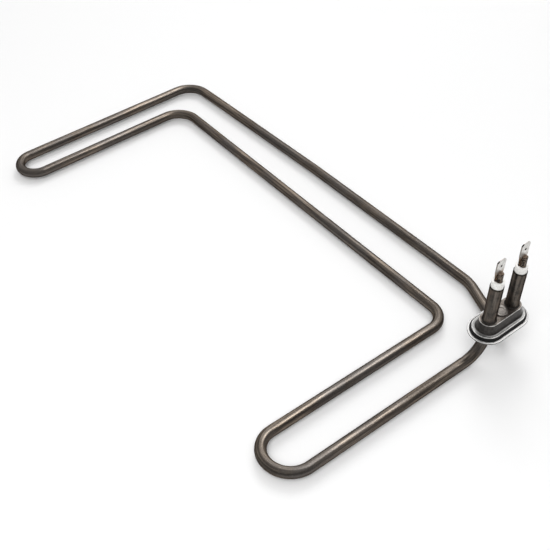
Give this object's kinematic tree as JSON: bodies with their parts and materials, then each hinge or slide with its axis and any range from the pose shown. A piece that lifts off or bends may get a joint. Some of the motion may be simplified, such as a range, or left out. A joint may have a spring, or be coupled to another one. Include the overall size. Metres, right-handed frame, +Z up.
{
  "type": "flanged tubular heating element",
  "caption": "Flat bracket-shaped sheathed heater tube with hairpin arms, rising through a small clamped flange to two ceramic-insulated tab terminals.",
  "frame": {"origin": "centre of the flange's seat, on the underside of its backing plate, midway between the two legs", "axes": "+Z up along the legs to the tabs, +X along the long runs towards the flange, +Y from the arms towards the long runs"},
  "size_m": [0.3448, 0.1806, 0.0745],
  "materials": {
    "sheath_steel": "oxidised stainless tube, dark grey-brown, satin",
    "magnesia": "packed powder, matte",
    "coil_alloy": "resistance wire, dull",
    "pin_steel": "dark brown oxidised steel",
    "seal_resin": "cast resin, matte",
    "bush_ceramic": "off-white steatite, matte",
    "tab_nickel": "nickel plated, satin",
    "flange_steel": "pressed stainless sheet, satin",
    "gasket_rubber": "black rubber, matte",
    "plate_steel": "bright plated sheet, satin",
    "rivet_steel": "turned stainless, satin",
    "braze": "darkened braze, dull"
  },
  "bodies": {
    "root": {"sheath_tube": "sheath_steel", "heating_coil": "coil_alloy", "magnesia_plug_near": "magnesia", "magnesia_plug_far": "magnesia", "terminal_pin_near": "pin_steel", "terminal_pin_far": "pin_steel", "end_seal_near": "seal_resin", "end_seal_far": "seal_resin", "ceramic_bush_near": "bush_ceramic", "ceramic_bush_far": "bush_ceramic", "tab_terminal_near": "tab_nickel", "tab_terminal_far": "tab_nickel", "flange_cover": "flange_steel", "rubber_gasket": "gasket_rubber", "backing_plate": "plate_steel", "centre_rivet": "rivet_steel", "braze_ring_near": "braze", "braze_ring_far": "braze"}
  },
  "joints": []
}
